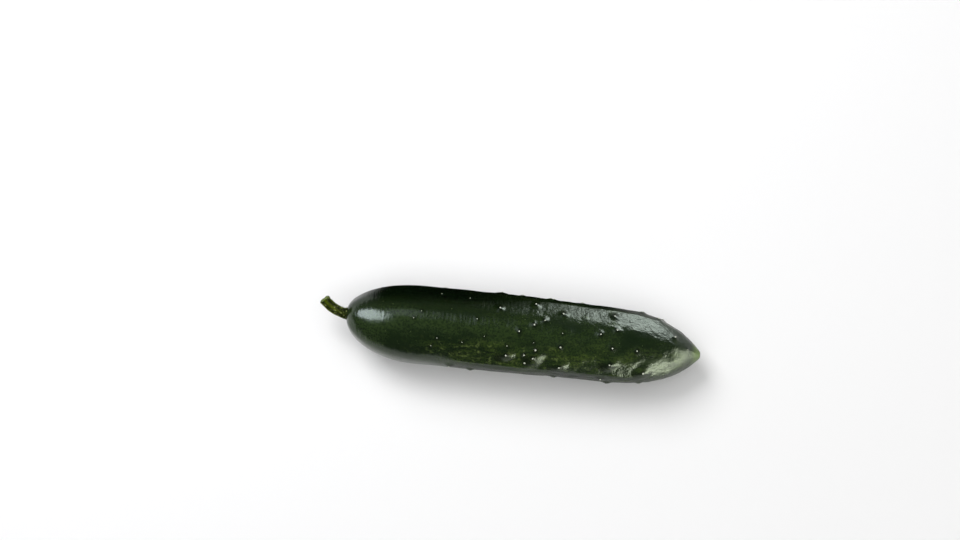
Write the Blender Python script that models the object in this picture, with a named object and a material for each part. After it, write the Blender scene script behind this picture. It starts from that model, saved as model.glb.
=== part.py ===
"""A whole slicing cucumber, picked and lying on its side, with the stub of its stem still on.

Two pieces: the fruit, which grew as one solid body, and the ridged stem that it hung from. Both are
drawn out ring by ring from a filled circle. +X runs from the stem to the blossom end, +Z is up, and
the origin is under the middle of the whole cucumber, on the surface that it lies on.
"""

import math

import bmesh
import bpy
from mathutils import Euler, Vector

# Fruit: lengths along its axis, measured from the stem seat.
FRUIT_LENGTH = 0.200
SHOULDER_LENGTH = 0.042  # from the stem seat to where the sides run level
TAPER_LENGTH = 0.070  # from where the sides leave the barrel to the blossom scar
WIDEST_AT = 0.055

# Fruit: across its axis.
FRUIT_DIAMETER = 0.0438  # at its widest
BARREL_THINNING = 0.0029  # how much its radius has shrunk by the blossom end
SCAR_DIAMETER = 0.0040  # the flat scar that the flower leaves
SEAT_MARGIN = 0.0005  # how far the flat under the stem reaches past the stem's foot

# Fruit: how it departs from a plain turned shape.
LOBE_HEIGHT = 0.00026  # three seed chambers swell the sides
LOBE_COUNT = 3
RIB_HEIGHT = 0.00022  # faint ribs, strongest at both ends
RIB_COUNT = 10
RIB_FADE = 0.060  # how far along the fruit the ribs die out from either end
SIDE_BOW = 0.0010  # how far the middle of the axis bows out sideways
SEAT_SHIFT = 0.0026  # the stem stands this far off the middle of the shoulder
REST_DEPTH = 0.0005  # how far the belly is levelled off where it lies

# Fruit: exponents of its outline. A higher one keeps an end full for longer.
SHOULDER_FULLNESS = 2.2
SHOULDER_BLUNTNESS = 0.7  # under 1, the shoulder starts blunt at the seat
TAPER_FULLNESS = 4.5

# Stem.
STEM_LENGTH = 0.0155
STEM_DIAMETER = 0.0052
STEM_ROOT_FLARE = 0.00035  # added to its radius where it meets the fruit
STEM_ROOT_LENGTH = 0.0025
STEM_END_FLARE = 0.00015  # and at the cut
STEM_END_LENGTH = 0.0020
STEM_RIB_COUNT = 5
STEM_RIB_HEIGHT = 0.00026
STEM_BEND = math.radians(46)  # how far it turns to the side between fruit and cut
STEM_RISE = math.radians(14)  # and upwards
STEM_EASE = 0.8  # under 1, the stem turns most near the fruit
STEM_GAP = 0.0003  # clearance between the two solids

# Facets.
FRUIT_SIDES = 60
SHOULDER_RINGS = 12
BARREL_RINGS = 16
TAPER_RINGS = 14
STEM_SIDES = 30
STEM_RINGS = 12

FRUIT_GREEN = (0.022, 0.042, 0.012, 1)
STEM_GREEN = (0.120, 0.165, 0.035, 1)


def stem_root_radius():
    return STEM_DIAMETER / 2 + STEM_ROOT_FLARE


def seat_radius():
    """Radius of the flat that the stem stands on, ribs included."""
    return stem_root_radius() + STEM_RIB_HEIGHT + SEAT_MARGIN


def barrel_radius(along):
    """Radius of the body before its ends are rounded: level to the widest place, then thinning."""
    past = max(0.0, along - WIDEST_AT) / (FRUIT_LENGTH - WIDEST_AT)
    return FRUIT_DIAMETER / 2 - BARREL_THINNING * past**2


def shoulder(along):
    """0 at the stem seat and 1 from the shoulder on, rounded over like a quarter of an ellipse."""
    short = max(0.0, 1 - along / SHOULDER_LENGTH)
    return max(0.0, 1 - short**SHOULDER_FULLNESS) ** SHOULDER_BLUNTNESS


def taper(along):
    """1 up to the taper and 0 at the blossom scar."""
    past = max(0.0, 1 - (FRUIT_LENGTH - along) / TAPER_LENGTH)
    return max(0.0, 1 - past**TAPER_FULLNESS)


def fruit_radius(along):
    """Mean radius of the fruit's section this far from the stem seat."""
    side = barrel_radius(along)
    cut_by_seat = (side - seat_radius()) * (1 - shoulder(along))
    cut_by_taper = (side - SCAR_DIAMETER / 2) * (1 - taper(along))
    return side - cut_by_seat - cut_by_taper


def fruit_axis(along):
    """Middle of the section. The axis lies so that the underside of the barrel is level."""
    bow = SIDE_BOW * math.sin(math.pi * along / FRUIT_LENGTH)
    shift = SEAT_SHIFT * (1 - shoulder(along))
    height = barrel_radius(along) - LOBE_HEIGHT - REST_DEPTH
    return Vector((along, bow + shift, height))


def fruit_section(along):
    """One ring of the fruit: swollen by the seed chambers, ribbed near the ends and levelled below."""
    centre = fruit_axis(along)
    radius = fruit_radius(along)
    fullness = min(shoulder(along), taper(along))
    nearest_end = min(along, FRUIT_LENGTH - along)
    ribs = RIB_HEIGHT * fullness * max(0.0, 1 - nearest_end / RIB_FADE)
    points = []
    for k in range(FRUIT_SIDES):
        angle = 2 * math.pi * k / FRUIT_SIDES
        swell = -LOBE_HEIGHT * fullness * math.sin(LOBE_COUNT * angle)
        out = radius + swell + ribs * math.cos(RIB_COUNT * angle)
        point = centre + out * Vector((0, math.cos(angle), math.sin(angle)))
        point.z = max(point.z, 0.0)
        points.append(point)
    return points


def fruit_stations():
    """Where the rings stand, closest together where the outline turns most."""
    quarter = math.pi / 2
    level = FRUIT_LENGTH - TAPER_LENGTH
    stations = [SHOULDER_LENGTH * (1 - math.cos(quarter * k / SHOULDER_RINGS)) for k in range(SHOULDER_RINGS)]
    step = (level - SHOULDER_LENGTH) / BARREL_RINGS
    stations += [SHOULDER_LENGTH + step * k for k in range(BARREL_RINGS)]
    stations += [level + TAPER_LENGTH * math.sin(quarter * k / TAPER_RINGS) for k in range(TAPER_RINGS + 1)]
    return stations


def stem_radius(along):
    """Mean radius of the stem, wider at its foot and at the cut."""
    foot = max(0.0, 1 - along / STEM_ROOT_LENGTH)
    end = max(0.0, 1 - (STEM_LENGTH - along) / STEM_END_LENGTH)
    return STEM_DIAMETER / 2 + STEM_ROOT_FLARE * foot**2 + STEM_END_FLARE * end**2


def ribbed_outline(radius):
    """A section of the stem, square to X."""
    points = []
    for k in range(STEM_SIDES):
        angle = 2 * math.pi * k / STEM_SIDES
        out = radius + STEM_RIB_HEIGHT * math.cos(STEM_RIB_COUNT * angle)
        points.append(out * Vector((0, math.cos(angle), math.sin(angle))))
    return points


def stem_sections():
    """The stem's rings along an arc that leaves the seat square to it and turns aside and up."""
    step = STEM_LENGTH / STEM_RINGS
    middle = fruit_axis(0.0) - Vector((STEM_GAP, 0, 0))
    sections = []
    for ring in range(STEM_RINGS + 1):
        ease = (ring / STEM_RINGS) ** STEM_EASE
        turn = Euler((0, STEM_RISE * ease, -STEM_BEND * ease), "XYZ").to_matrix()
        if ring:
            middle = middle + turn @ Vector((-step, 0, 0))
        outline = ribbed_outline(stem_radius(step * ring))
        sections.append([middle + turn @ point for point in outline])
    return sections


def drawn_out(name, sections):
    """A closed body made by extruding a filled ring from each section to the next."""
    body = bmesh.new()
    bmesh.ops.create_circle(body, cap_ends=True, radius=1, segments=len(sections[0]))
    spoke = body.verts.layers.int.new("spoke")
    cap = next(iter(body.faces))
    for k, vert in enumerate(cap.verts):
        vert[spoke] = k
        vert.co = sections[0][k]
    left_behind = []
    for section in sections[1:]:
        left_behind.append(cap)
        grown = bmesh.ops.extrude_face_region(body, geom=[cap])
        cap = next(item for item in grown["geom"] if isinstance(item, bmesh.types.BMFace))
        for vert in cap.verts:
            vert.co = section[vert[spoke]]
    bmesh.ops.delete(body, geom=left_behind[1:], context="FACES_ONLY")
    bmesh.ops.recalc_face_normals(body, faces=body.faces)
    mesh = bpy.data.meshes.new(name)
    body.to_mesh(mesh)
    body.free()
    mesh.shade_smooth()
    mesh.set_sharp_from_angle(angle=math.radians(50))
    piece = bpy.data.objects.new(name, mesh)
    bpy.context.scene.collection.objects.link(piece)
    return piece


def finish(piece, name, colour, roughness):
    """Gives the piece its own plain material."""
    material = bpy.data.materials.new(name)
    material.use_nodes = True
    shader = material.node_tree.nodes["Principled BSDF"]
    shader.inputs["Base Color"].default_value = colour
    shader.inputs["Roughness"].default_value = roughness
    piece.data.materials.append(material)


def origin_under_the_middle(pieces):
    """Hangs the pieces on one empty, placed so that the whole lies centred over the origin."""
    corners = [vert.co for piece in pieces for vert in piece.data.vertices]
    middle = [(min(c[axis] for c in corners) + max(c[axis] for c in corners)) / 2 for axis in (0, 1)]
    holder = bpy.data.objects.new("cucumber", None)
    bpy.context.scene.collection.objects.link(holder)
    holder.location = (-middle[0], -middle[1], 0)
    for piece in pieces:
        piece.parent = holder


def build():
    for leftover in list(bpy.data.objects):
        bpy.data.objects.remove(leftover)
    fruit = drawn_out("fruit", [fruit_section(along) for along in fruit_stations()])
    finish(fruit, "cucumber_skin", FRUIT_GREEN, 0.35)
    stem = drawn_out("stem", stem_sections())
    finish(stem, "stem_green", STEM_GREEN, 0.7)
    origin_under_the_middle([fruit, stem])


build()
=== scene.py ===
"""A slicing cucumber lying on its side: skin with warts and spines, ridged stem, blossom scar.

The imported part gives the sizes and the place. The fruit and the stem are modelled again here with
all that grows on them, and lie on a pale floor under soft studio light.
"""

from __future__ import annotations

import logging
import math
import random
from dataclasses import dataclass, field
from enum import Enum

import bpy
import numpy as np
from mathutils import Euler, Matrix, Vector
from mathutils.kdtree import KDTree

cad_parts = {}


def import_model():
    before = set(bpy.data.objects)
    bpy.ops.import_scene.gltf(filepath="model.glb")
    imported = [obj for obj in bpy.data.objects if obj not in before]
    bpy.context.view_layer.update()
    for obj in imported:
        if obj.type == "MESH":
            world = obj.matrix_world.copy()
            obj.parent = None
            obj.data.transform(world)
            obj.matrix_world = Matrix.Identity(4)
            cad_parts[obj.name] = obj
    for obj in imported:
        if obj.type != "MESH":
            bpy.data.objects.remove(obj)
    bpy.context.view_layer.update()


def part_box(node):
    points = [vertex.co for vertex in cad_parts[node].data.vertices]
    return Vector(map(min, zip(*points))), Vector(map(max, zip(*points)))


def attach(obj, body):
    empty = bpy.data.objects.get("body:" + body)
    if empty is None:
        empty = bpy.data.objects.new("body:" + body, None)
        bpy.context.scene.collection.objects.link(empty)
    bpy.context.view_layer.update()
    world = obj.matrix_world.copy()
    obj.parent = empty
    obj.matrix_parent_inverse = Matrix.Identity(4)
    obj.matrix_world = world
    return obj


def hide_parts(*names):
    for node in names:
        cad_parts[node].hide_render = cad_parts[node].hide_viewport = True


LOG = logging.getLogger("cucumber")
MM = 0.001

Colour = tuple[float, float, float]
Piece = bpy.types.Object
Array = np.ndarray
Settings = dict[str, object]
Sockets = dict[int | str, object]


# Shader maths.


class Term:
    """A socket of a shader, with arithmetic that adds the Math nodes it needs."""

    def __init__(self, graph: Graph, socket: bpy.types.NodeSocket) -> None:
        """Keeps the socket and the graph that it belongs to."""
        self.graph = graph
        self.socket = socket

    def maths(self, operation: str, *values: Term | float) -> Term:
        """Adds one Math node.

        Args:
            operation: The Math node's operation.
            *values: Its inputs, in order.

        Returns:
            The node's result.
        """
        sockets = dict(enumerate(values))
        return self.graph.term("ShaderNodeMath", {"operation": operation}, sockets)

    def __add__(self, other: Term | float) -> Term:
        """Sum."""
        return self.maths("ADD", self, other)

    def __radd__(self, other: float) -> Term:
        """Sum, with the number first."""
        return self.maths("ADD", other, self)

    def __sub__(self, other: Term | float) -> Term:
        """Difference."""
        return self.maths("SUBTRACT", self, other)

    def __rsub__(self, other: float) -> Term:
        """Difference, with the number first."""
        return self.maths("SUBTRACT", other, self)

    def __mul__(self, other: Term | float) -> Term:
        """Product."""
        return self.maths("MULTIPLY", self, other)

    def __rmul__(self, other: float) -> Term:
        """Product, with the number first."""
        return self.maths("MULTIPLY", other, self)

    def __truediv__(self, other: Term | float) -> Term:
        """Quotient."""
        return self.maths("DIVIDE", self, other)


class Graph:
    """The node tree of one material."""

    def __init__(self, name: str) -> None:
        """Starts a material that holds a Principled BSDF and its output.

        Args:
            name: The material's name.
        """
        self.material = bpy.data.materials.new(name)
        self.material.use_nodes = True
        self.tree = self.material.node_tree
        self.shader = self.tree.nodes["Principled BSDF"]
        self.coordinates = self.term("ShaderNodeTexCoord", output="Object")

    def node(self, kind: str, settings: Settings, sockets: Sockets) -> bpy.types.Node:
        """Adds a node.

        Args:
            kind: The node's type.
            settings: Its properties, which are set before its sockets.
            sockets: A value or a Term for each input, by name or number.

        Returns:
            The node.
        """
        made = self.tree.nodes.new(kind)
        for key, value in settings.items():
            setattr(made, key, value)
        for key, value in sockets.items():
            if isinstance(value, Term):
                self.tree.links.new(value.socket, made.inputs[key])
            else:
                made.inputs[key].default_value = value
        return made

    def term(
        self,
        kind: str,
        settings: Settings | None = None,
        sockets: Sockets | None = None,
        output: int | str = 0,
    ) -> Term:
        """Adds a node and takes one of its outputs.

        Args:
            kind: The node's type.
            settings: Its properties.
            sockets: A value or a Term for each input.
            output: The output's name or number.

        Returns:
            That output.
        """
        made = self.node(kind, settings or {}, sockets or {})
        return Term(self, made.outputs[output])

    def attribute(self, name: str) -> Term:
        """The value that the piece's vertices carry under this name."""
        return self.term("ShaderNodeAttribute", {"attribute_name": name}, output="Fac")

    def axis(self, letter: str) -> Term:
        """One of the object coordinates, in metres."""
        return self.term("ShaderNodeSeparateXYZ", {}, {0: self.coordinates}, letter)

    def noise(
        self,
        grain: float,
        stretch: tuple[float, float, float] = (1, 1, 1),
        detail: float = 2.0,
        rough: float = 0.5,
    ) -> Term:
        """Soft noise around a half.

        Args:
            grain: The size of its blotches, in metres.
            stretch: How many times longer the pattern is on each axis.
            detail: Octaves of finer noise.
            rough: How strong the finer octaves are.

        Returns:
            A value from 0 to 1.
        """
        inverse = tuple(1 / side for side in stretch)
        multiply = {"operation": "MULTIPLY"}
        place = self.term("ShaderNodeVectorMath", multiply, {0: self.coordinates, 1: inverse})
        sockets = {"Vector": place, "Scale": 1 / grain, "Detail": detail, "Roughness": rough}
        return self.term("ShaderNodeTexNoise", {}, sockets, "Fac")

    def dots(self, spacing: float, size: float) -> Term:
        """Small round dots scattered over the surface.

        Args:
            spacing: The mean distance between them, in metres.
            size: Their radius, in metres.

        Returns:
            1 at a dot's middle and 0 outside it.
        """
        sockets = {"Vector": self.coordinates, "Scale": 1 / spacing, "Randomness": 1.0}
        far = self.term("ShaderNodeTexVoronoi", {}, sockets, "Distance")
        return self.step(far, size / spacing, 0.4 * size / spacing)

    def step(self, value: Term, low: float, high: float) -> Term:
        """A smooth step.

        Args:
            value: What is compared.
            low: Where it is 0.
            high: Where it is 1. It may lie under low, and the step then falls.

        Returns:
            A value from 0 to 1.
        """
        settings = {"interpolation_type": "SMOOTHSTEP"}
        sockets = {"Value": value, "From Min": min(low, high), "From Max": max(low, high)}
        risen = self.term("ShaderNodeMapRange", settings, sockets)
        return risen if high > low else 1 - risen

    def mix(self, factor: Term | float, under: Term | Colour, over: Term | Colour) -> Term:
        """Lays one colour over another.

        Args:
            factor: 0 shows the one under and 1 the one over.
            under: A colour or a Term.
            over: A colour or a Term.

        Returns:
            The mixed colour.
        """
        settings = {"data_type": "RGBA", "clamp_factor": True}
        pair = [c if isinstance(c, Term) else (*c, 1.0) for c in (under, over)]
        return self.term("ShaderNodeMix", settings, {0: factor, 6: pair[0], 7: pair[1]}, 2)

    def raise_by(self, height: Term, depth: float, under: Term | None = None) -> Term:
        """A Bump node.

        Args:
            height: The relief, from 0 to 1.
            depth: How high 1 stands, in metres.
            under: The normal of the relief that it lies on.

        Returns:
            The bumped normal.
        """
        sockets = {"Height": height, "Distance": depth, "Strength": 1.0}
        if under is not None:
            sockets["Normal"] = under
        return self.term("ShaderNodeBump", {}, sockets)

    def feed(self, **inputs: Term | float | Colour) -> None:
        """Sets or links the shader's inputs, named with underscores for their spaces."""
        for key, value in inputs.items():
            socket = self.shader.inputs[key.replace("_", " ")]
            if isinstance(value, Term):
                self.tree.links.new(value.socket, socket)
            else:
                socket.default_value = (*value, 1.0) if isinstance(value, tuple) else value


# Finishes.


@dataclass(frozen=True)
class SkinFinish:
    """Waxy green skin: blue-green by the stem, mottled olive in the middle, pale at the tip, with
    painted shade.
    """

    shoulder: Colour = (0.0195, 0.0352, 0.0096)
    flank: Colour = (0.0168, 0.0330, 0.0066)
    deep: Colour = (0.0038, 0.0105, 0.0027)
    # Near-black painted shadow for the flank turned towards +Y.
    painted_shadow: Colour = (0.0005, 0.0015, 0.0004)
    ring: Colour = (0.0015, 0.0040, 0.0012)
    mottle: Colour = (0.048, 0.077, 0.013)
    bright: Colour = (0.105, 0.140, 0.040)
    streak: Colour = (0.100, 0.145, 0.050)
    tip: Colour = (0.100, 0.165, 0.020)
    fleck: Colour = (0.240, 0.300, 0.120)
    cloud_grain: float = 14 * MM
    patch_grain: float = 4.5 * MM
    bloom_grain: float = 3.0 * MM
    speck_grain: float = 1.15 * MM
    fleck_spacing: float = 3.4 * MM
    fleck_radius: float = 0.20 * MM
    wrinkle_height: float = 0.17 * MM
    crumple_height: float = 0.27 * MM
    ray_height: float = 0.10 * MM
    peel_height: float = 0.11 * MM
    index: float = 1.46
    sheen_tint: Colour = (0.84, 1.0, 0.78)

    def material(self, length: float, start: float) -> bpy.types.Material:
        """Makes the skin.

        Args:
            length: The fruit's length, in metres.
            start: Where on X its stem end is.

        Returns:
            The material.
        """
        graph = Graph("cucumber_skin")
        along = (graph.axis("X") - start) / length
        wax = graph.noise(7 * MM, (2, 1, 1), 2) * 0.12
        dull = graph.step(along, 0.15, 0.70) * 0.07 + graph.step(along, 0.86, 0.98) * 0.12
        graph.feed(
            Base_Color=self.marks(graph, along, self.greens(graph, along)),
            Roughness=wax + dull + 0.10,
            Normal=self.relief(graph, along),
            IOR=self.index,
            Specular_Tint=self.sheen_tint,
        )
        return graph.material

    def greens(self, graph: Graph, along: Term) -> Term:
        """The broad colours, the olive mottles in them, and painted shade on the +Y flank and in low
        spots.

        Args:
            graph: The skin's graph.
            along: 0 at the stem and 1 at the tip.

        Returns:
            The colour.
        """
        shadow_side, rise, ground = (graph.attribute(name) for name in ("shadow_side", "rise", "ground"))
        cloud = graph.noise(self.cloud_grain, (2.2, 1, 1), 3)
        patch = graph.noise(self.patch_grain, (2.8, 1, 1), 4, 0.6)
        bloom = graph.noise(self.bloom_grain, (1.2, 1, 1), 3, 0.55)
        green = graph.mix(graph.step(along, 0.10, 0.55), self.shoulder, self.flank)
        green = graph.mix(graph.step(cloud, 0.42, 0.68) * 0.8, green, self.deep)
        green = graph.mix(graph.step(along, 0.58, 0.82) * 0.50, green, self.deep)
        # Painted shadow: the flank turned towards +Y is painted near black, less so past the middle.
        shade = 1.0 - graph.step(along, 0.3, 0.6) * 0.40
        green = graph.mix(shadow_side * shade, green, self.painted_shadow)
        # Painted shade: spots that sit low between the lumps are darkened.
        green = graph.mix(graph.step(rise, 0.52, 0.22) * 0.85, green, self.deep)
        ripe = graph.step(along, 0.25, 0.60) * 0.75 + 0.10
        ripe = ripe * (graph.attribute("pale") * 0.7 + 0.3)
        green = graph.mix(graph.step(patch + rise * 0.3, 0.66, 0.92) * ripe, green, self.mottle)
        green = graph.mix(graph.step(patch, 0.41, 0.60) * ground * 0.60, green, self.mottle)
        return graph.mix(graph.step(bloom, 0.52, 0.66) * ground * 0.80, green, self.bright)

    def marks(self, graph: Graph, along: Term, green: Term) -> Term:
        """What lies over the broad colours: specks, rays, the tip, flecks, dark rings and painted
        shade beside the large warts.

        Args:
            graph: The skin's graph.
            along: 0 at the stem and 1 at the tip.
            green: The broad colours.

        Returns:
            The colour.
        """
        speck = graph.noise(self.speck_grain, (1, 1, 1), 2, 0.6)
        ray = graph.noise(self.patch_grain, (9, 1, 1), 2)
        reach = graph.step(along, 0.74, 0.97) * graph.attribute("pale") * 0.30
        green = graph.mix(graph.step(speck, 0.45, 0.58) * 0.65, green, self.deep)
        green = graph.mix(graph.attribute("mound") * 0.45, green, self.deep)
        green = graph.mix(graph.step(ray, 0.40, 0.66) * reach, green, self.streak)
        green = graph.mix(graph.step(along, 0.968, 0.996), green, self.tip)
        flecks = graph.dots(self.fleck_spacing, self.fleck_radius)
        green = graph.mix(flecks * 0.6, green, self.fleck)
        # Dark rings round the spines, and painted shade beside the large warts, both in the ring
        # colour.
        return graph.mix(graph.attribute("ring_and_shadow") * 0.92, green, self.ring)

    def relief(self, graph: Graph, along: Term) -> Term:
        """Fine relief: wrinkles round the stem end, crumples, rays at the tip and peel.

        Args:
            graph: The skin's graph.
            along: 0 at the stem and 1 at the tip.

        Returns:
            The bumped normal.
        """
        coarse = graph.step(along, 0.30, 0.75)
        wrinkles = graph.noise(2.0 * MM, (0.8, 4, 4), 3) * (1 - coarse * 0.5)
        normal = graph.raise_by(wrinkles, self.wrinkle_height)
        crumple = graph.noise(2.4 * MM, (1.3, 1, 1), 3, 0.6) * (coarse * 0.85 + 0.15)
        crumple = crumple * (1 - graph.attribute("mound") * 0.6)
        normal = graph.raise_by(crumple, self.crumple_height, normal)
        rays = graph.noise(1.3 * MM, (9, 1, 1), 2) * graph.step(along, 0.78, 0.92)
        normal = graph.raise_by(rays, self.ray_height, normal)
        peel = graph.noise(1.1 * MM, (1, 1, 1), 2, 0.6) * (coarse * 0.6 + 0.4)
        return graph.raise_by(peel, self.peel_height, normal)


@dataclass(frozen=True)
class StemFinish:
    """Ridged stalk: olive green, brownish in its furrows, paler and wet at the cut."""

    flesh: Colour = (0.078, 0.110, 0.003)
    furrow: Colour = (0.007, 0.011, 0.0008)
    dry: Colour = (0.030, 0.030, 0.004)
    fleck: Colour = (0.420, 0.480, 0.160)
    cut: Colour = (0.200, 0.260, 0.070)
    vessel: Colour = (0.090, 0.130, 0.030)
    fleck_spacing: float = 1.5 * MM
    fleck_radius: float = 0.42 * MM
    grain_height: float = 0.05 * MM
    gloss: float = 0.05

    def material(self, seat: float) -> bpy.types.Material:
        """Makes the stalk, darker towards its foot.

        Args:
            seat: Where on X it meets the fruit, in metres.

        Returns:
            The material.
        """
        graph = Graph("stem_green")
        cut = graph.attribute("cut")
        blotch = graph.noise(2.2 * MM, (2, 1, 1), 3)
        grain = graph.noise(0.35 * MM, (3, 1, 1), 2)
        foot = graph.step(graph.axis("X"), seat - 10.5 * MM, seat - 0.5 * MM)
        rib = graph.step(graph.attribute("rib"), 0.25, 0.95)
        skin = graph.mix(rib, self.furrow, self.flesh)
        skin = graph.mix(graph.step(blotch, 0.50, 0.75) * 0.5, skin, self.dry)
        skin = graph.mix(graph.step(grain, 0.42, 0.60) * 0.7, skin, self.furrow)
        skin = graph.mix(foot * 0.8, skin, self.furrow)
        flecks = graph.dots(self.fleck_spacing, self.fleck_radius)
        skin = graph.mix(flecks * 0.9, skin, self.fleck)
        flesh = graph.mix(graph.step(grain, 0.45, 0.60), self.cut, self.vessel)
        graph.feed(
            Base_Color=graph.mix(cut, skin, flesh),
            Roughness=0.62 - cut * 0.22,
            Normal=graph.raise_by(grain, self.grain_height),
            Specular_IOR_Level=self.gloss,
        )
        return graph.material


@dataclass(frozen=True)
class SpineFinish:
    """Pale corky spine stubs and bristles, a little darker at the root."""

    pale: Colour = (0.86, 0.88, 0.78)
    root: Colour = (0.30, 0.36, 0.20)

    def material(self, name: str) -> bpy.types.Material:
        """Makes the finish.

        Args:
            name: The material's name.

        Returns:
            The material.
        """
        graph = Graph(name)
        grain = graph.noise(0.25 * MM, (1, 1, 1), 2)
        pale = graph.mix(graph.step(grain, 0.35, 0.60), self.root, self.pale)
        graph.feed(Base_Color=pale, Roughness=grain * 0.2 + 0.4)
        return graph.material


@dataclass(frozen=True)
class FloorFinish:
    """Matte white board."""

    white: Colour = (0.90, 0.90, 0.90)

    def material(self) -> bpy.types.Material:
        """Makes the board's paint.

        Returns:
            The material.
        """
        graph = Graph("white_board")
        grain = graph.noise(3 * MM, (1, 1, 1), 2) * 0.1
        graph.feed(Base_Color=self.white, Roughness=grain + 0.75)
        return graph.material


@dataclass(frozen=True)
class FlagFinish:
    """Black cloth that fades out towards both ends on X.

    It starts at a slant, and its flat part ends further on than what stands.
    """

    start: float
    end: float
    slant: float
    longer: float
    dense: float
    soft: float = 0.03

    def material(self) -> bpy.types.Material:
        """Makes the cloth.

        Returns:
            The material.
        """
        graph = Graph("black_flag")
        place = graph.axis("X")
        flat = graph.step(graph.axis("Z"), 4 * MM, 2 * MM)
        slanted = place + graph.axis("Y") * self.slant
        cover = graph.step(slanted, self.start, self.start + self.soft) * self.dense
        ending = place - flat * self.longer
        cover = cover * graph.step(ending, self.end, self.end - 2 * self.soft)
        black = (0.001, 0.001, 0.001)
        graph.feed(Base_Color=black, Roughness=0.9, Alpha=cover, Specular_IOR_Level=0.0)
        return graph.material


# Modelling.


def enter(mode: str) -> None:
    """Goes to edit mode, or back to object mode."""
    bpy.ops.object.mode_set(mode=mode)


def lay_aside() -> None:
    """Leaves nothing selected."""
    if bpy.context.mode != "OBJECT":
        enter("OBJECT")
    bpy.ops.object.select_all(action="DESELECT")


def take_up(piece: Piece) -> None:
    """Selects one piece alone and makes it active.

    Args:
        piece: The piece.
    """
    lay_aside()
    piece.select_set(True)
    bpy.context.view_layer.objects.active = piece


def pick_none(piece: Piece, kind: str) -> None:
    """Takes a piece up with none of its vertices, edges or faces picked.

    Args:
        piece: The piece.
        kind: What is going to be picked.
    """
    take_up(piece)
    enter("EDIT")
    bpy.ops.mesh.select_mode(type=kind)
    bpy.ops.mesh.select_all(action="DESELECT")
    enter("OBJECT")


def dish(piece: Piece, towards: Vector, insets: list[tuple[float, float]]) -> None:
    """Dishes the end of a body.

    Args:
        piece: The body.
        towards: The way that the end faces.
        insets: How wide and how deep each inset of its face is, in metres.
    """
    pick_none(piece, "FACE")
    end = max(piece.data.polygons, key=lambda face: face.center.dot(towards) + face.area)
    end.select = True
    enter("EDIT")
    for wide, deep in insets:
        bpy.ops.mesh.inset(thickness=wide, depth=deep)
    enter("OBJECT")


def apply_modifier(piece: Piece, kind: str, **settings: object) -> None:
    """Adds a modifier and applies it.

    Args:
        piece: What it works on.
        kind: The modifier's type.
        **settings: Its properties.
    """
    take_up(piece)
    modifier = piece.modifiers.new(kind.lower(), kind)
    for key, value in settings.items():
        setattr(modifier, key, value)
    bpy.ops.object.modifier_apply(modifier=modifier.name)


def corners(piece: Piece) -> Array:
    """The piece's vertices, one row each.

    Args:
        piece: The piece.

    Returns:
        Their places.
    """
    flat = np.empty(len(piece.data.vertices) * 3, np.float32)
    piece.data.vertices.foreach_get("co", flat)
    return flat.reshape(-1, 3).astype(float)


def put(name: str, data: bpy.types.ID | None = None) -> Piece:
    """Puts a new object in the scene.

    Args:
        name: Its name.
        data: Its mesh, lamp or camera, if it has one.

    Returns:
        The object.
    """
    piece = bpy.data.objects.new(name, data)
    bpy.context.scene.collection.objects.link(piece)
    return piece


def weigh(piece: Piece, name: str, weights: Array) -> None:
    """Puts the weights, in steps of a 255th, in a vertex group of this name.

    Args:
        piece: The piece.
        name: The group.
        weights: One from 0 to 1 for each vertex.
    """
    group = piece.vertex_groups.new(name=name)
    steps = np.rint(np.clip(weights, 0, 1) * 255).astype(int)
    for step in np.unique(steps[steps > 0]):
        group.add(np.flatnonzero(steps == step).tolist(), step / 255, "REPLACE")


def swell(piece: Piece, name: str, height: float, weights: Array) -> None:
    """Pushes the surface outwards.

    Args:
        piece: What swells.
        name: A name for the swelling.
        height: How far it swells where the weight is 1, in metres.
        weights: One weight from 0 to 1 for each vertex.
    """
    weigh(piece, name, weights)
    push = {"direction": "NORMAL", "mid_level": 0.0, "strength": height}
    apply_modifier(piece, "DISPLACE", vertex_group=name, **push)


def roughen(
    piece: Piece, name: str, height: float, grain: float, stretch: float, weights: Array
) -> None:
    """Makes the surface uneven.

    Args:
        piece: What is roughened.
        name: A name for the unevenness.
        height: From the lowest to the highest, in metres.
        grain: The size of its lumps, in metres.
        stretch: How many times longer they are along X.
        weights: One weight from 0 to 1 for each vertex.
    """
    weigh(piece, name, weights)
    lumps = bpy.data.textures.new(name, "CLOUDS")
    lumps.noise_scale = 1.0
    lumps.noise_depth = 1
    guide = put(name)
    guide.scale = (grain * stretch, grain, grain)
    bpy.context.view_layer.update()
    push = {"direction": "NORMAL", "mid_level": 0.5, "strength": height}
    push |= {"texture": lumps, "texture_coords": "OBJECT", "texture_coords_object": guide}
    apply_modifier(piece, "DISPLACE", vertex_group=name, **push)
    bpy.data.objects.remove(guide)


def carry(piece: Piece, name: str, values: Array) -> None:
    """Stores one value for each vertex, for the finish to read."""
    layer = piece.data.attributes.new(name, "FLOAT", "POINT")
    layer.data.foreach_set("value", values.astype(np.float32))


def smooth(piece: Piece, degrees: float) -> None:
    """Shades the piece smooth, except over edges sharper than this."""
    take_up(piece)
    bpy.ops.object.shade_smooth_by_angle(angle=math.radians(degrees))


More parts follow.
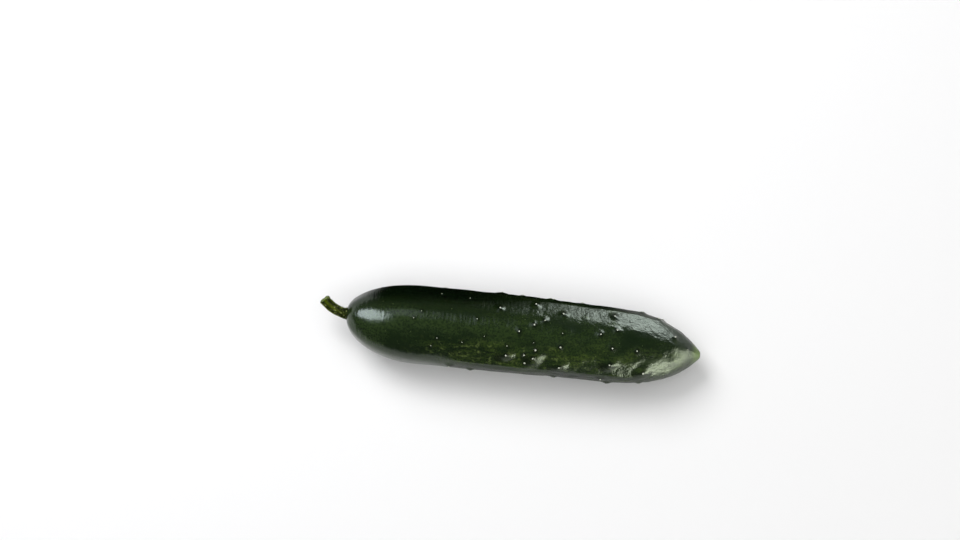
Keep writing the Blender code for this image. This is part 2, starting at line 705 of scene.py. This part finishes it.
def draw_out(
    name: str, middles: list[Vector], radii: list[float], turns: list[Matrix], sides: int
) -> Piece:
    """Draws a round body out ring by ring from a filled circle.

    Args:
        name: The piece's name.
        middles: The middle of each ring.
        radii: The radius of each ring.
        turns: How each ring is turned from square to X.
        sides: How many vertices a ring has.

    Returns:
        The closed body.
    """
    lay_aside()
    facing = (0, math.pi / 2, 0)
    bpy.ops.mesh.primitive_circle_add(
        vertices=sides, radius=radii[0], fill_type="NGON", location=middles[0], rotation=facing
    )
    piece = bpy.context.active_object
    piece.name = piece.data.name = name
    bpy.ops.object.transform_apply()
    enter("EDIT")
    bpy.ops.mesh.select_mode(type="FACE")
    bpy.ops.mesh.select_all(action="SELECT")
    for k in range(1, len(middles)):
        step = {"value": middles[k] - middles[k - 1]}
        bpy.ops.mesh.extrude_region_move(TRANSFORM_OT_translate=step)
        grow = radii[k] / radii[k - 1]
        bpy.ops.transform.resize(value=(grow, grow, grow), center_override=middles[k])
        turn = (turns[k] @ turns[k - 1].inverted()).to_euler()
        for axis, angle in zip("XYZ", turn):
            if abs(angle) > 1e-6:
                bpy.ops.transform.rotate(value=-angle, orient_axis=axis, center_override=middles[k])
    bpy.ops.mesh.select_all(action="SELECT")
    bpy.ops.mesh.normals_make_consistent(inside=False)
    enter("OBJECT")
    return piece


def scatter(name: str, seed: Piece, places: list[Matrix]) -> Piece:
    """Copies a small shape to many places and joins the copies.

    Args:
        name: The joined piece's name.
        seed: The shape, standing on the origin along +Z. It is used up.
        places: Where each copy stands, with its turn and scale.

    Returns:
        The joined piece.
    """
    copies = []
    for place in places:
        copy = put(name, seed.data.copy())
        copy.matrix_world = place
        copies.append(copy)
    bpy.data.objects.remove(seed)
    take_up(copies[0])
    for copy in copies:
        copy.select_set(True)
    bpy.ops.object.join()
    bpy.ops.object.transform_apply()
    joined = bpy.context.active_object
    joined.name = joined.data.name = name
    return joined


# The cucumber.


@dataclass(frozen=True)
class Mound:
    """The mound under a wart, and the stub of its spine."""

    radius: float
    height: float
    slant: float
    spine: float


class Growth(Enum):
    """How far a wart has grown. Heights are shares of the tallest mound's."""

    SPOT = Mound(2.2 * MM, 0.08, 0.0, 0.26 * MM)
    WART = Mound(3.7 * MM, 0.52, 0.0, 0.46 * MM)
    KNOB = Mound(6.0 * MM, 0.92, 0.30, 0.52 * MM)
    HILL = Mound(7.4 * MM, 1.0, 0.62, 0.46 * MM)


@dataclass(frozen=True)
class Wart:
    """One wart: its millimetres from the seat, degrees from the top towards +Y, and growth."""

    along: float
    around: float
    growth: Growth = Growth.WART


@dataclass(frozen=True)
class Ridge:
    """A long ridge on one side of the fruit, with a flat side that leads up to it."""

    name: str
    side: int
    foot: float
    start: float
    end: float
    height: float


RIDGES = (
    Ridge("back", 1, 40, 90 * MM, 192 * MM, 1.3 * MM),
    Ridge("front", -1, 30, 55 * MM, 178 * MM, 1.1 * MM),
)

SPOT, KNOB, HILL = Growth.SPOT, Growth.KNOB, Growth.HILL
FRONT_WARTS = (
    Wart(38, 11, SPOT), Wart(42, 22, SPOT), Wart(49, -28, SPOT), Wart(52, -15, SPOT),
    Wart(52, 58, SPOT), Wart(66, -18, SPOT), Wart(68, 54, SPOT), Wart(73, 18, SPOT),
    Wart(78, -6, SPOT), Wart(60, -70), Wart(85, 39), Wart(72, -80), Wart(91, -31, KNOB),
    Wart(91, -17, SPOT), Wart(97, 6), Wart(97, 79), Wart(101, -28), Wart(102, -42),
    Wart(105, 18), Wart(105, 54), Wart(107, -19), Wart(105.5, -8, SPOT), Wart(106, -31, HILL),
    Wart(110.5, 26), Wart(113, 76), Wart(119, -78), Wart(121, -43, KNOB), Wart(120.5, -10),
    Wart(121, 10, SPOT), Wart(120.5, 41), Wart(131, 74), Wart(142, 15), Wart(145, -63),
    Wart(149, -84), Wart(149, 50), Wart(149, -29, KNOB), Wart(149, -4), Wart(151, 25),
    Wart(165, 78), Wart(167, -76), Wart(174, 70), Wart(163, -4), Wart(168, -42, KNOB),
    Wart(184, 37), Wart(192, 16, SPOT),
)


SCAR = [(0.45 * MM, 0.18 * MM), (0.40 * MM, -0.12 * MM), (0.50 * MM, -0.28 * MM)]
CUT = [(0.12 * MM, 0.0), (0.35 * MM, -0.10 * MM), (0.80 * MM, -0.18 * MM)]


@dataclass
class Fruit:
    """The fruit's body, from the seat under the stem to the blossom scar."""

    low: Vector
    high: Vector
    shoulder_length: float = 42 * MM
    shoulder_fullness: float = 2.2
    shoulder_bluntness: float = 0.63
    taper_length: float = 70 * MM
    taper_fullness: float = 4.5
    widest_at: float = 55 * MM
    diameter: float = 43.8 * MM
    thinning: float = 2.9 * MM
    seat_radius: float = 3.71 * MM
    scar_radius: float = 1.95 * MM
    chamber_height: float = 0.26 * MM
    rib_height: float = 0.22 * MM
    bow: float = 1.0 * MM
    seat_shift: float = 2.6 * MM
    rest_depth: float = 0.5 * MM
    fold_height: float = 0.28 * MM
    wave_height: float = 1.3 * MM
    lump_height: float = 0.70 * MM
    mound_height: float = 1.35 * MM
    tubercle_height: float = 0.24 * MM
    tubercle_radius: float = 1.5 * MM
    halo_radius: float = 1.9 * MM
    # Painted shade beside the large warts: its radius, its offset in mm and degrees, and its strength.
    shadow_patch_radius: float = 3.4 * MM
    shadow_patch_back: float = 3.6
    shadow_patch_turn: float = 7
    shadow_patch_strength: float = 0.7
    hidden_count: int = 46
    sides: int = 64
    shoulder_rings: int = 18
    barrel_rings: int = 38
    taper_rings: int = 30
    finish: SkinFinish = field(default_factory=SkinFinish)

    def __post_init__(self) -> None:
        """Finds the fruit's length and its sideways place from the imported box."""
        self.length = self.high.x - self.low.x
        stations = np.array(self.stations())
        middle, radius = self.bow_at(stations), self.radius(stations)
        own = (max(middle + radius) + min(middle - radius)) / 2
        self.sideways = (self.low.y + self.high.y) / 2 - own
        self.warts = [*FRONT_WARTS, *self.hidden_warts()]

    def shoulder(self, along: Array) -> Array:
        """0 at the seat and 1 from the shoulder on."""
        short = np.clip(1 - along / self.shoulder_length, 0, 1)
        return (1 - short**self.shoulder_fullness) ** self.shoulder_bluntness

    def taper(self, along: Array) -> Array:
        """1 up to the taper and 0 at the scar."""
        past = np.clip(1 - (self.length - along) / self.taper_length, 0, 1)
        return 1 - past**self.taper_fullness

    def barrel(self, along: Array) -> Array:
        """Radius before the ends are rounded."""
        past = np.clip((along - self.widest_at) / (self.length - self.widest_at), 0, 1)
        return self.diameter / 2 - self.thinning * past**2

    def radius(self, along: Array) -> Array:
        """Mean radius of the section.

        Args:
            along: Stations from the seat.

        Returns:
            The radii.
        """
        side = self.barrel(along)
        seat = (side - self.seat_radius) * (1 - self.shoulder(along))
        tip = (side - self.scar_radius) * (1 - self.taper(along))
        return side - seat - tip

    def bow_at(self, along: Array) -> Array:
        """How far the section stands to the side."""
        bow = self.bow * np.sin(math.pi * along / self.length)
        return bow + self.seat_shift * (1 - self.shoulder(along))

    def centre(self, along: Array) -> tuple[Array, Array, Array]:
        """Middle of the section, in the row frame."""
        height = self.barrel(along) - self.chamber_height - self.rest_depth
        return self.low.x + along, self.sideways + self.bow_at(along), self.low.z + height

    def stations(self) -> list[float]:
        """Where the rings stand, from the seat to the scar.

        Returns:
            Their stations.
        """
        quarter = math.pi / 2
        level = self.length - self.taper_length
        step = (level - self.shoulder_length) / self.barrel_rings
        rise = [math.cos(quarter * k / self.shoulder_rings) for k in range(self.shoulder_rings)]
        fall = [math.sin(quarter * k / self.taper_rings) for k in range(self.taper_rings + 1)]
        return [
            *(self.shoulder_length * (1 - share) for share in rise),
            *(self.shoulder_length + step * k for k in range(self.barrel_rings)),
            *(level + self.taper_length * share for share in fall),
        ]

    def hidden_warts(self) -> list[Wart]:
        """Warts on the side that faces away, thinly sown by the stem and thicker past the middle.

        Returns:
            The warts.
        """
        chance = random.Random(20)
        found: list[Wart] = []
        while len(found) < self.hidden_count:
            along = chance.uniform(14, 190)
            around = chance.uniform(92, 268)
            if chance.random() > 0.25 + 0.75 * min(1.0, along / 95):
                continue
            if any(abs(w.along - along) + 0.38 * abs(w.around - around) < 13 for w in found):
                continue
            kinds = [SPOT] if along < 70 else [Growth.WART, KNOB, Growth.WART]
            found.append(Wart(along, around, chance.choice(kinds)))
        return found

    def place(self, wart: Wart) -> Vector:
        """Where a wart's foot is on the smooth fruit.

        Args:
            wart: The wart.

        Returns:
            The spot.
        """
        along = wart.along * MM
        x, y, z = self.centre(along)
        out = self.radius(along)
        turn = math.radians(wart.around)
        return Vector((x, y + out * math.sin(turn), z + out * math.cos(turn)))

    def build(self) -> Piece:
        """Models the fruit.

        Returns:
            The finished piece.
        """
        stations = self.stations()
        middles = [Vector(self.centre(along)) for along in stations]
        radii = [float(self.radius(along)) for along in stations]
        turns = [Matrix.Identity(3)] * len(stations)
        body = draw_out("fruit_skin", middles, radii, turns, self.sides)
        dish(body, Vector((1, 0, 0)), SCAR)
        apply_modifier(body, "SUBSURF", levels=2)
        self.shape(body)
        self.grow_warts(body)
        self.level_belly(body)
        smooth(body, 60)
        body.data.materials.append(self.finish.material(self.length, self.low.x))
        return body

    def around(self, points: Array) -> tuple[Array, Array]:
        """Where points lie on the fruit.

        Args:
            points: One row for each.

        Returns:
            Their stations from the seat, and their angles from the top towards +Y.
        """
        along = np.clip(points[:, 0] - self.low.x, 0, self.length)
        _, y, z = self.centre(along)
        return along, np.arctan2(points[:, 1] - y, points[:, 2] - z)

    def shape(self, body: Piece) -> None:
        """Swells chambers, ridges and ribs, folds it round the stem, and makes it uneven.

        Args:
            body: The fruit.
        """
        along, turn = self.around(corners(body))
        full = np.minimum(self.shoulder(along), self.taper(along))
        swell(body, "chambers", self.chamber_height, full * (0.5 + 0.5 * np.cos(3 * turn)))
        for ridge in RIDGES:
            self.raise_ridge(body, ridge, np.degrees(turn))
        near = np.clip(1 - np.minimum(along, self.length - along) / (60 * MM), 0, 1)
        swell(body, "ribs", self.rib_height, full * near * (0.5 - 0.5 * np.cos(10 * turn)))
        collar = np.clip(along / (3 * MM), 0, 1) * np.clip(1 - along / (16 * MM), 0, 1)
        folds = 0.5 + 0.5 * np.cos(7 * turn + 0.8 * np.sin(2 * turn))
        swell(body, "folds", self.fold_height, collar * folds)
        self.mark_sides(body, along, np.degrees(turn))
        self.make_uneven(body, along, turn)

    def raise_ridge(self, body: Piece, ridge: Ridge, degrees: Array) -> None:
        """Raises a long ridge.

        Args:
            body: The fruit.
            ridge: Where it runs and how high it is.
            degrees: The angle of each vertex.
        """
        along, _ = self.around(corners(body))
        past = ridge.side * degrees - ridge.foot
        lengthwise = np.clip((along - ridge.start) / (22 * MM), 0, 1)
        lengthwise *= np.clip((ridge.end - along) / (26 * MM), 0, 1)
        rise = np.clip(past / 22, 0, 1) ** 2
        fall = 0.5 + 0.5 * np.cos(math.pi * np.clip((past - 18) / 36, 0, 1))
        swell(body, ridge.name, ridge.height, lengthwise * rise * fall)

    def mark_sides(self, body: Piece, along: Array, degrees: Array) -> None:
        """Marks the side painted dark as shadow, the mottled belt in front and the pale lower side.

        Args:
            body: The fruit.
            along: Each vertex's station.
            degrees: Each vertex's angle.
        """
        # Painted shadow: the flank turned towards +Y, fading out round the back.
        behind = 1 - 0.65 * np.clip((degrees - 76) / 24, 0, 1)
        behind *= np.clip((175 - degrees) / 40, 0, 1)
        carry(body, "shadow_side", np.clip((degrees - 8) / 42, 0, 1) * behind)
        midway = np.clip(1 - ((along - 92 * MM) / (59 * MM)) ** 2, 0, 1)
        carry(body, "ground", midway * np.clip(1 - ((degrees + 34) / 24) ** 2, 0, 1))
        far_side = np.radians(degrees) < 2.9
        carry(body, "pale", 1 - np.clip((degrees + 22) / 26, 0, 1) * far_side)

    def make_uneven(self, body: Piece, along: Array, turn: Array) -> None:
        """Makes the sides uneven with waves and lumps, and marks where they rise; the skin paints the
        low spots darker as shade.

        Args:
            body: The fruit.
            along: Each vertex's station.
            turn: Each vertex's angle from the top, in radians.
        """
        even = corners(body)
        uneven = 0.18 + 0.82 * np.clip((along - 45 * MM) / (70 * MM), 0, 1)
        uneven *= np.clip((self.length - along) / (14 * MM), 0, 1)
        uneven *= 1 - 0.6 * np.clip(1 - ((np.degrees(turn) - 48) / 38) ** 2, 0, 1)
        roughen(body, "waves", self.wave_height, 17 * MM, 2.4, uneven)
        roughen(body, "lumps", self.lump_height, 6.5 * MM, 1.3, uneven)
        outwards = np.column_stack([np.zeros(len(turn)), np.sin(turn), np.cos(turn)])
        rise = ((corners(body) - even) * outwards).sum(axis=1)
        carry(body, "rise", np.clip(0.5 + rise / (1.2 * MM), 0, 1))

    def grow_warts(self, body: Piece) -> None:
        """Raises a mound and a tubercle under each spine, in a dark ring.

        The large ones get a patch of painted shade beside them too, on the stem side.

        Args:
            body: The fruit.
        """
        points = corners(body)
        tree = KDTree(len(points))
        for k, point in enumerate(points):
            tree.insert(point, k)
        tree.balance()
        mounds, tubercles, ring_and_shadow = (np.zeros(len(points)) for _ in range(3))
        for wart in self.warts:
            mound = wart.growth.value
            foot = self.place(wart)
            turn = math.radians(wart.around)
            across = Vector((0.6, 0.8 * math.cos(turn), -0.8 * math.sin(turn)))
            for spot, k, far in tree.find_range(foot, mound.radius * 1.8):
                near = far**2 - mound.slant * (spot - foot).dot(across) ** 2
                bell = max(0.0, 1 - near / mound.radius**2) ** 2
                mounds[k] = max(mounds[k], bell * mound.height)
                knob = max(0.0, 1 - (far / self.tubercle_radius) ** 2)
                tubercles[k] = max(tubercles[k], knob * min(1.0, 0.3 + mound.height))
                ring = max(0.0, 1 - (far / self.halo_radius) ** 2)
                ring_and_shadow[k] = max(ring_and_shadow[k], ring * min(1.0, 0.25 + 1.2 * mound.height))
            # Painted shade: a dark patch beside each large wart, towards the stem.
            if wart.growth in (KNOB, HILL):
                shadow_spot = Wart(wart.along - self.shadow_patch_back, wart.around - self.shadow_patch_turn)
                for _, k, far in tree.find_range(self.place(shadow_spot), self.shadow_patch_radius):
                    shade = self.shadow_patch_strength * (1 - (far / self.shadow_patch_radius) ** 2)
                    ring_and_shadow[k] = max(ring_and_shadow[k], shade)
        swell(body, "mounds", self.mound_height, mounds)
        swell(body, "tubercles", self.tubercle_height, tubercles)
        carry(body, "mound", mounds)
        carry(body, "ring_and_shadow", np.sqrt(ring_and_shadow))

    def level_belly(self, body: Piece) -> None:
        """Presses flat what would sink into the surface that it lies on.

        Args:
            body: The fruit.
        """
        floor = self.low.z
        pick_none(body, "VERT")
        body.data.vertices.foreach_set("select", corners(body)[:, 2] < floor)
        enter("EDIT")
        bpy.ops.transform.resize(value=(1, 1, 0), center_override=(0, 0, floor))
        enter("OBJECT")

    def spines(self, body: Piece) -> Piece:
        """Sets a pale stub on each wart.

        Args:
            body: The finished fruit.

        Returns:
            The stubs, as one piece.
        """
        lay_aside()
        bpy.ops.mesh.primitive_uv_sphere_add(segments=8, ring_count=6, radius=1.0)
        stub = bpy.context.active_object
        enter("EDIT")
        bpy.ops.mesh.bisect(plane_co=(0, 0, -0.3), plane_no=(0, 0, 1), use_fill=True, clear_inner=True)
        enter("OBJECT")
        chance = random.Random(7)
        places = []
        for wart in self.warts:
            found, spot, normal, _ = body.closest_point_on_mesh(self.place(wart))
            if not found or spot.z < self.low.z + 1.5 * MM:
                continue
            size = wart.growth.value.spine * chance.uniform(0.8, 1.15)
            up = normal.to_track_quat("Z", "Y").to_matrix().to_4x4()
            scale = Matrix.Diagonal((size, size, size * 0.8, 1))
            places.append(Matrix.Translation(spot) @ up @ scale)
        stubs = scatter("spines", stub, places)
        smooth(stubs, 60)
        stubs.data.materials.append(SpineFinish().material("spine_cork"))
        return stubs


@dataclass
class Stem:
    """The ridged stalk, bent to one side and cut square."""

    foot: Vector
    seat: float
    length: float = 15.5 * MM
    radius: float = 2.6 * MM
    sunk: float = 0.9 * MM
    ribs: int = 5
    rib_sides: int = 8
    rings: int = 18
    rib_height: float = 0.42 * MM
    knot_height: float = 0.35 * MM
    bristle_count: int = 380
    bend: float = math.radians(46)
    rise: float = math.radians(14)
    finish: StemFinish = field(default_factory=StemFinish)

    def path(self) -> tuple[list[Vector], list[float], list[Matrix]]:
        """The stalk's rings.

        Returns:
            Their middles, radii and turns.
        """
        step = self.length / self.rings
        middle = self.foot + Vector((self.sunk, 0, 0))
        middles, radii, turns = [middle], [self.radius * 1.22], [Matrix.Identity(3)]
        middle = self.foot
        for k in range(self.rings + 1):
            ease = (k / self.rings) ** 0.8
            turn = Euler((0, self.rise * ease, -self.bend * ease), "XYZ").to_matrix()
            if k:
                middle = middle + turn @ Vector((-step, 0, 0))
            root = max(0.0, 1 - step * k / (3.0 * MM)) ** 2
            end = max(0.0, 1 - (self.length - step * k) / (2.5 * MM)) ** 2
            middles.append(middle)
            radii.append(self.radius + 0.55 * MM * root + 0.20 * MM * end)
            turns.append(turn)
        return middles, radii, turns

    def build(self) -> Piece:
        """Models the stalk.

        Returns:
            The finished piece.
        """
        middles, radii, turns = self.path()
        body = draw_out("stem_stalk", middles, radii, turns, self.ribs * self.rib_sides)
        dish(body, turns[-1] @ Vector((-1, 0, 0)), CUT)
        apply_modifier(body, "SUBSURF", levels=2)
        self.raise_ribs(body, middles, turns)
        smooth(body, 55)
        body.data.materials.append(self.finish.material(self.seat))
        return body

    def raise_ribs(self, body: Piece, middles: list[Vector], turns: list[Matrix]) -> None:
        """Raises the ribs along the stalk and carries them out over its foot.

        Args:
            body: The smooth stalk.
            middles: Its rings' middles.
            turns: Its rings' turns.
        """
        points = corners(body)
        centres = np.array([tuple(m) for m in middles])
        nearest = ((points[:, None] - centres[None]) ** 2).sum(axis=2).argmin(axis=1)
        frames = np.array([np.array(t.inverted()) for t in turns])
        local = np.einsum("nij,nj->ni", frames[nearest], points - centres[nearest])
        turn = np.arctan2(local[:, 1], local[:, 2])
        out = np.hypot(local[:, 1], local[:, 2])
        rib = (0.5 + 0.5 * np.cos(self.ribs * turn)) ** 0.7
        rim = np.clip((out - 1.9 * MM) / (0.6 * MM), 0, 1)
        swell(body, "ribs", self.rib_height, rib * rim)
        roughen(body, "knots", self.knot_height, 1.6 * MM, 1.8, rim)
        carry(body, "rib", rib)
        away = np.array(turns[-1] @ Vector((-1, 0, 0)))
        short = (np.array(middles[-1]) - points) @ away
        inner = np.clip((2.35 * MM - out) / (0.2 * MM), 0, 1)
        carry(body, "cut", inner * (short < 0.5 * MM))

    def bristles(self, body: Piece) -> Piece:
        """Sets short stiff hairs all over the stalk.

        Args:
            body: The finished stalk.

        Returns:
            The hairs, as one piece.
        """
        lay_aside()
        bpy.ops.mesh.primitive_cone_add(vertices=4, radius1=1.0, radius2=0.0, depth=1.0)
        hair = bpy.context.active_object
        chance = random.Random(3)
        faces = [f for f in body.data.polygons if f.center.x < self.foot.x - 0.2 * MM]
        areas = [f.area for f in faces]
        places = []
        for face in chance.choices(faces, areas, k=self.bristle_count):
            lean = Vector([chance.uniform(-0.5, 0.5) for _ in range(3)])
            up = (face.normal + lean).to_track_quat("Z", "Y").to_matrix().to_4x4()
            tall = chance.uniform(0.35, 0.85) * MM
            wide = chance.uniform(0.06, 0.10) * MM
            lift = Matrix.Translation((0, 0, tall * 0.45))
            scale = Matrix.Diagonal((wide, wide, tall, 1))
            places.append(Matrix.Translation(face.center) @ up @ lift @ scale)
        hairs = scatter("stem_bristles", hair, places)
        smooth(hairs, 60)
        green = SpineFinish(pale=(0.26, 0.32, 0.07), root=(0.06, 0.09, 0.01))
        hairs.data.materials.append(green.material("bristle"))
        return hairs


# The studio.


class Reach(Enum):
    """What a light acts on."""

    SHEEN = "sheen"
    WASH = "wash"


@dataclass(frozen=True)
class Softbox:
    """A soft light panel that faces a point on the long axis of the cucumber."""

    name: str
    place: tuple[float, float, float]
    width: float
    height: float
    glow: float
    reach: Reach
    facing: float = 0.0
    tint: Colour = (1.0, 1.0, 1.0)
    shape: str = "RECTANGLE"

    def hang(self) -> None:
        """Hangs the panel."""
        lamp = bpy.data.lights.new(self.name, "AREA")
        lamp.shape = self.shape
        lamp.size, lamp.size_y = self.width, self.height
        lamp.energy = self.glow * math.pi * self.width * self.height
        lamp.color = self.tint
        holder = put(self.name, lamp)
        holder.visible_diffuse = self.reach is Reach.WASH
        holder.visible_glossy = self.reach is Reach.SHEEN
        holder.location = self.place
        aside = Vector((self.facing, 0, 0.02)) - Vector(self.place)
        holder.rotation_euler = aside.to_track_quat("-Z", "Y").to_euler()


@dataclass(frozen=True)
class Flag:
    """A black flag on the board, seen only where the skin mirrors it, folded up at its far edge.

    Its corner near the cucumber and the one opposite are given on X and Y.
    """

    name: str
    near: tuple[float, float]
    far: tuple[float, float]
    top: float
    finish: FlagFinish

    def lay(self) -> None:
        """Lays the flag and folds it up."""
        lay_aside()
        bpy.ops.mesh.primitive_plane_add(size=1.0, location=(0.5, 0.5, 0.001))
        cloth = bpy.context.active_object
        bpy.ops.object.transform_apply()
        enter("EDIT")
        size = (self.far[0] - self.near[0], self.far[1] - self.near[1], 1)
        bpy.ops.transform.resize(value=size, center_override=(0, 0, 0))
        bpy.ops.transform.translate(value=(*self.near, 0))
        pick_none(cloth, "EDGE")
        spots = corners(cloth)
        edges = cloth.data.edges
        back = max(edges, key=lambda edge: min(abs(spots[v][1]) for v in edge.vertices))
        back.select = True
        enter("EDIT")
        bpy.ops.mesh.extrude_region_move(TRANSFORM_OT_translate={"value": (0, 0, self.top)})
        enter("OBJECT")
        cloth.name = self.name
        cloth.data.materials.append(self.finish.material())
        cloth.visible_camera = cloth.visible_diffuse = cloth.visible_shadow = False


BLUE, COOL, WARM = (0.80, 0.79, 1.0), (0.90, 0.90, 1.0), (1.0, 0.97, 0.88)
SHEEN, WASH = Reach.SHEEN, Reach.WASH
SOFTBOXES = (
    Softbox("overhead_wash", (0.0, 0.1, 1.6), 2.4, 2.4, 1.33, WASH),
    Softbox("side_wash", (-0.70, 0.80, 1.25), 0.8, 0.8, 8.6, WASH),
    Softbox("shoulder_light", (-0.97, 0.30, 0.65), 0.72, 0.98, 10.0, SHEEN, 0.0, BLUE, "ELLIPSE"),
    Softbox("ceiling", (-0.42, 0.74, 1.05), 0.66, 0.55, 1.25, SHEEN, -0.42, BLUE),
    Softbox("back_strip", (0.47, 0.85, 0.12), 0.64, 0.22, 16.0, SHEEN, 0.47, COOL),
    Softbox("front_strip", (0.59, -0.34, 0.155), 1.05, 0.29, 11.5, SHEEN, 0.0, WARM),
)
BEHIND = FlagFinish(start=-0.085, end=0.05, slant=0.6, longer=0.06, dense=1.0)
IN_FRONT = FlagFinish(start=-0.05, end=0.13, slant=0.0, longer=0.0, dense=0.5)
FLAGS = (
    Flag("flag_behind", (-0.16, 0.004), (0.11, 0.11), 0.062, BEHIND),
    Flag("flag_in_front", (-0.05, -0.006), (0.13, -0.09), 0.002, IN_FRONT),
)


@dataclass
class Studio:
    """White board, soft lights, black flags and the camera overhead."""

    aim: Vector
    lens: float = 85.0
    sensor: float = 36.0
    field: float = 540.1 * MM
    roll: float = math.radians(6.03)
    sky: float = 0.10

    def build(self) -> None:
        """Sets up everything that isn't the cucumber."""
        self.floor()
        for flag in FLAGS:
            flag.lay()
        self.lights()
        self.camera()
        view = bpy.context.scene.view_settings
        view.view_transform = "Standard"
        view.look = "None"

    def floor(self) -> None:
        """Lays the white board, and a wide floor round it that the skin doesn't mirror."""
        paint = FloorFinish().material()
        for name, size, depth in (("floor", 1.1, 0.2 * MM), ("floor_beyond", 8.0, 0.6 * MM)):
            lay_aside()
            bpy.ops.mesh.primitive_plane_add(size=size, location=(0, 0, -depth))
            board = bpy.context.active_object
            bpy.ops.object.transform_apply()
            board.name = name
            board.data.materials.append(paint)
            board.visible_glossy = name == "floor"

    def lights(self) -> None:
        """Hangs the softboxes and sets the dim room round them."""
        for box in SOFTBOXES:
            box.hang()
        world = bpy.data.worlds.new("room")
        world.use_nodes = True
        background = world.node_tree.nodes["Background"]
        background.inputs["Color"].default_value = (1, 1, 1, 1)
        background.inputs["Strength"].default_value = self.sky
        bpy.context.scene.world = world

    def camera(self) -> None:
        """Hangs the camera straight overhead, turned a little about its own axis."""
        lens = bpy.data.cameras.new("camera")
        lens.lens, lens.sensor_width = self.lens, self.sensor
        lens.clip_start, lens.clip_end = 0.01, 20.0
        holder = put("camera", lens)
        away = self.field * self.lens / self.sensor
        holder.location = self.aim + Vector((0, 0, away))
        holder.rotation_euler = (0, 0, self.roll)
        bpy.context.scene.camera = holder


def hand_over(piece: Piece, slot: str, *nodes: str) -> None:
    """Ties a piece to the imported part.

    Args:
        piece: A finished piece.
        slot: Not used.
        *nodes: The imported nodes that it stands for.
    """
    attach(piece, "root")
    if nodes:
        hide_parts(*nodes)
    LOG.info("%s: %d faces", piece.name, len(piece.data.polygons))


def main() -> None:
    """Builds the cucumber and the studio."""
    logging.basicConfig(level=logging.INFO, format="%(name)s: %(message)s")
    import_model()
    fruit = Fruit(*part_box("fruit"))
    skin = fruit.build()
    hand_over(skin, "cucumber_skin", "fruit")
    hand_over(fruit.spines(skin), "cucumber_skin")
    _, stem_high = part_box("stem")
    stem = Stem(Vector(fruit.centre(0.0)), stem_high.x)
    stalk = stem.build()
    hand_over(stalk, "stem_green", "stem")
    hand_over(stem.bristles(stalk), "stem_green")
    Studio(aim=Vector((-20.4, 34.1, 21.7)) * MM).build()


if __name__ == "__main__":
    main()
